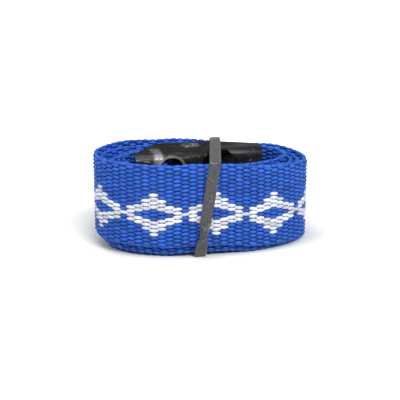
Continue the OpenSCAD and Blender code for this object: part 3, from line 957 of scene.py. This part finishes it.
def cad_copy(node, name, bevel, skin, edge):
    """The node's mesh with its facets merged and its edges rounded."""
    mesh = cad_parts[node].data.copy()
    mesh.materials.clear()
    bm = bmesh.new()
    bm.from_mesh(mesh)
    bmesh.ops.remove_doubles(bm, verts=bm.verts, dist=WELD_M)
    bmesh.ops.dissolve_limit(bm, angle_limit=FLAT_ANGLE, verts=bm.verts, edges=bm.edges)
    bm.to_mesh(mesh)
    bm.free()
    mesh.polygons.foreach_set("use_smooth", [True] * len(mesh.polygons))
    obj = link_mesh(name + "_sharp", mesh)
    mesh.materials.append(skin)
    mesh.materials.append(edge)
    rounded = obj.modifiers.new("rounded edges", "BEVEL")
    rounded.width = bevel * MM
    rounded.segments = 2
    rounded.limit_method = "ANGLE"
    rounded.angle_limit = BEVEL_ANGLE
    rounded.material = 1
    made = settled(obj, name)
    made.data.set_sharp_from_angle(angle=SHARP_ANGLE)
    return made


def build_buckle():
    edge = worn_edge_material()
    body = cad_copy("buckle_frame", "folded_frame", FRAME_BEVEL, coated_steel_material(), edge)
    finish_piece(body, "roll", "buckle_frame")
    lever = cad_copy("cam_lever", "toothed_lever", LEVER_BEVEL, cast_material(), edge)
    finish_piece(lever, "cam", "cam_lever")


def lathed(name, profile, middle, sides):
    """Turned solid about an upright line, from (radius, height) pairs, bottom to top."""
    rings = []
    for r, z in profile:
        ring = []
        for k in range(sides):
            a = 2 * math.pi * k / sides
            ring.append((middle.x + r * math.cos(a), middle.y + r * math.sin(a), z))
        rings.append(ring)
    obj = swept(name, rings)
    obj.data.set_sharp_from_angle(angle=RIVET_SHARP_ANGLE)
    return obj


def build_pin():
    low, high = (v.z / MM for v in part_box("pivot_pin"))
    profile = [(r, low + z) for r, z in FOOT]
    profile += [(r, high - HEAD_FACE + z) for r, z in HEAD_RIM]
    profile += [(r, high - r * r / DOME_FLATNESS) for r in DOME_RADII]
    profile.append((0.02, high))
    pin = lathed("headed_pin", profile, on_frame(PIN_S, PIN_T), 64)
    finish_piece(pin, "roll", "pivot_pin", [pin_material()])


def spring_point(angle):
    """Point on the coil, which winds clockwise and upwards round the pin."""
    middle = on_frame(PIN_S, PIN_T)
    reach = turned(COIL_R, 0, angle + FRAME_YAW)
    z = COIL_LOW + COIL_PITCH * (COIL_FROM - angle) / 360
    return Vector((middle.x + reach.x, middle.y + reach.y, z))


def spring_leg(point, angle, lengths):
    """Points on the tangent at this end of the coil."""
    tangent = turned(0, 1, angle + FRAME_YAW)
    return [point + Vector((tangent.x, tangent.y, 0)) * d for d in lengths]


def build_spring():
    """The coil stays on the pin; its upper leg lies under the lever and moves with it."""
    wire = wire_material()
    steps, sides = 120, 12
    wound = COIL_FROM - COIL_TO
    points = [spring_point(COIL_FROM - wound * i / steps) for i in range(steps + 1)]
    lower = spring_leg(points[0], COIL_FROM, LOWER_LEG)
    finish_piece(tube("torsion_spring", lower + points, WIRE_R, sides),
                 "roll", "cam_spring", [wire])
    arc = [spring_point(COIL_TO + a) for a in range(LEG_OVERLAP, -1, -LEG_STEP)]
    upper = spring_leg(arc[-1], COIL_TO, UPPER_LEG)
    finish_piece(tube("spring_upper_leg", arc + upper, WIRE_R - 0.01, sides),
                 "cam", None, [wire])


def tube(name, points, radius, sides):
    rings = []
    for i in range(len(points)):
        d = heading(points, i)
        a = d.cross(Vector((0, 0, 1))).normalized()
        b = a.cross(d)
        ring = []
        for k in range(sides):
            t = 2 * math.pi * k / sides
            ring.append(points[i] + (a * math.cos(t) + b * math.sin(t)) * radius)
        rings.append(ring)
    return swept(name, rings)


# ---- rubber band ----
BAND_X, BAND_BY_Y, BAND_BY_Z = -0.3, 0.206, 0.158     # where it crosses, and its slant
BAND_NEAR = 0.05 + BAND_T / 2
BAND_BOTTOM = ROLL_D / 2 - 1.6
BAND_SIDE = ROLL_D / 2 + 0.2
BAND_TOP = FRAME_Z + FRAME_W
BAND_UNDER, BAND_STEP = BAND_T + 0.05, 0.5
REST_BACK, REST_FRONT = 10.6, -2.4      # where it lies on the frame's upper edges
KNEE_FRONT, KNEE_BACK, WEB_FRONT, WEB_BACK = 3.2, 1.8, 28.95, 27.8
TWIST_Z, TWIST_L, TWIST_Y = 8.0, 9.0, ROLL_D / 2 + 1.15
CURL_NARROW, CURL_THICK = 0.4, 2.8      # how the section draws together in a half turn
SECTION_SIDES, SECTION_FLAT, SECTION_ROUND = 16, 0.45, 0.6


def belt(circles, steps):
    """Outline of a belt stretched round circles (x, y, radius), anticlockwise."""
    n = len(circles)
    leave = []
    for i in range(n):
        a, b = circles[i], circles[(i + 1) % n]
        dx, dy = b[0] - a[0], b[1] - a[1]
        leave.append(math.atan2(dy, dx) - math.acos((a[2] - b[2]) / math.hypot(dx, dy)))
    points = []
    for i, (x, y, r) in enumerate(circles):
        sweep = (leave[i] - leave[i - 1]) % (2 * math.pi)
        for k in range(steps + 1):
            a = leave[i - 1] + sweep * k / steps
            points.append(Vector((x + r * math.cos(a), y + r * math.sin(a))))
    return points


def band_route():
    circles = [
        (-BAND_BOTTOM, BAND_UNDER), (BAND_BOTTOM, BAND_UNDER), (BAND_SIDE, KNEE_BACK),
        (TWIST_Y, TWIST_Z), (BAND_SIDE, WEB_BACK), (REST_BACK, BAND_TOP), (REST_FRONT, BAND_TOP),
        (-BAND_SIDE, WEB_FRONT), (-TWIST_Y, TWIST_Z), (-BAND_SIDE, KNEE_FRONT)]
    outline = belt([(y, z, BAND_NEAR) for y, z in circles], 6)
    points = []
    for a, b in zip(outline, outline[1:] + outline[:1]):
        count = max(1, math.ceil((b - a).length / BAND_STEP))
        points += [a.lerp(b, k / count) for k in range(count)]
    return points


def band_turned(p):
    if abs(p.x) < BAND_BOTTOM:
        return 0.0 if p.y > BAND_TOP / 2 else 1.0
    return smooth(0.5 + (TWIST_Z - p.y) / TWIST_L)


def build_band():
    route = band_route()
    n = len(route)
    rings = []
    for i, p in enumerate(route):
        out = right_of((route[(i + 1) % n] - route[i - 1]).normalized())
        a = math.pi * band_turned(p)
        curl = math.sin(a) ** 2
        w = BAND_W / 2 * (1 - CURL_NARROW * curl)
        h = BAND_T / 2 * (1 + CURL_THICK * curl)
        x = BAND_X + BAND_BY_Y * p.x + BAND_BY_Z * p.y
        ring = []
        for k in range(SECTION_SIDES):
            t = 2 * math.pi * (k + 0.5) / SECTION_SIDES
            across = w * signed_pow(math.cos(t), SECTION_FLAT)
            thick = h * signed_pow(math.sin(t), SECTION_ROUND)
            qx = across * math.cos(a) - thick * math.sin(a)
            qy = across * math.sin(a) + thick * math.cos(a)
            ring.append((x + qx, p.x + out.x * qy, p.y + out.y * qy))
        rings.append(ring)
    band = swept("twisted_band", rings, closed=True)
    finish_piece(band, "roll", "rubber_band", [rubber_material()])


# ---- studio: lengths here are in metres ----
FLOOR = 4
SHADE_FROM, SHADE_TO, SHADE = 0.03, 0.08, 0.72
GLOW_FROM, GLOW_TO = 0.035, 0.16
WORLD_LIGHT = 0.05
LIGHTS = (              # name, place, aim, size, watts
    ("overhead_soft_box", (-0.1, -0.15, 0.7), (0, 0, 0), (0.4, 0.4), 2.6),
    ("front_soft_box", (0.12, -0.57, 0.52), (0, 0, 0.01), (0.36, 0.3), 5.8),
    ("left_soft_box", (-0.55, -0.25, 0.45), (0, 0, 0.01), (0.3, 0.3), 2.2),
    ("back_soft_box", (-0.35, 0.5, 0.6), (0, 0, 0.01), (0.4, 0.4), 1.6),
    ("right_soft_box", (0.6, -0.3, 0.35), (0, 0, 0.01), (0.3, 0.3), 1.8),
    ("back_card", (0.22, 0.57, 0.17), (0, 0, 0.03), (0.16, 0.12), 0.03))
CAMERA_AZIMUTH, CAMERA_ELEVATION, CAMERA_DISTANCE = -10.9, 16.2, 0.3
AIM_Z, AIM_LEFT, AIM_DOWN = 0.0134, 0.00046, 0.00078
LENS_MM, SENSOR_MM = 86.1, 36.0


def build_floor():
    """White paper, with painted shade making it a little darker round the object, and lit by
    itself further out.
    """
    f = FLOOR
    floor = mesh_object("studio_floor", [(-f, -f, 0), (f, -f, 0), (f, f, 0), (-f, f, 0)],
                        [(0, 1, 2, 3)])
    material, tree, shader = new_material(
        "white_floor", Roughness=0.9, Specular_IOR_Level=0.0, Emission_Color=(1, 1, 1, 1))
    away = vector_maths(tree, "LENGTH", object_coords(tree))
    paper = mottled(tree, 3.0, 0.5, PAPER_DARK, PAPER_LIGHT)
    # painted shade: the paper's colour darkens round the object
    shade = ranged(tree, away, SHADE_FROM, SHADE_TO, SHADE, 1.0)
    seen = tree.nodes.new("ShaderNodeLightPath").outputs["Is Camera Ray"]
    glow = ranged(tree, away, GLOW_FROM, GLOW_TO)
    feed(tree, shader, Base_Color=mixed(tree, 1.0, paper["Color"], shade, "MULTIPLY"),
         Emission_Strength=maths(tree, "MULTIPLY", seen, glow))
    floor.data.materials.append(material)


def area_light(name, place, aim, size, power):
    data = bpy.data.lights.new(name, "AREA")
    data.shape = "RECTANGLE"
    data.size, data.size_y = size
    data.energy = power
    light = bpy.data.objects.new(name, data)
    SCENE.collection.objects.link(light)
    light.location = place
    light.rotation_euler = (Vector(aim) - Vector(place)).to_track_quat("-Z", "Y").to_euler()


def build_lights():
    world = bpy.data.worlds.new("studio")
    SCENE.world = world
    world.use_nodes = True
    world.node_tree.nodes["Background"].inputs["Color"].default_value = (1, 1, 1, 1)
    world.node_tree.nodes["Background"].inputs["Strength"].default_value = WORLD_LIGHT
    for light in LIGHTS:
        area_light(*light)


def build_camera():
    azimuth, elevation = math.radians(CAMERA_AZIMUTH), math.radians(CAMERA_ELEVATION)
    right = Vector((math.cos(azimuth), math.sin(azimuth), 0))
    back = Vector((math.sin(azimuth) * math.cos(elevation),
                   -math.cos(azimuth) * math.cos(elevation), math.sin(elevation)))
    up = back.cross(right)
    aim = Vector((0, 0, AIM_Z)) - right * AIM_LEFT - up * AIM_DOWN
    data = bpy.data.cameras.new("camera")
    data.lens, data.sensor_width = LENS_MM, SENSOR_MM
    data.clip_start, data.clip_end = 0.01, 20.0
    camera = bpy.data.objects.new("camera", data)
    SCENE.collection.objects.link(camera)
    camera.location = aim + back * CAMERA_DISTANCE
    camera.rotation_euler = back.to_track_quat("Z", "Y").to_euler()
    SCENE.camera = camera


build_camera()
build_webbing()
build_stitching()
build_buckle()
build_pin()
build_spring()
build_band()
build_floor()
build_lights()
SCENE.view_settings.view_transform = "Standard"
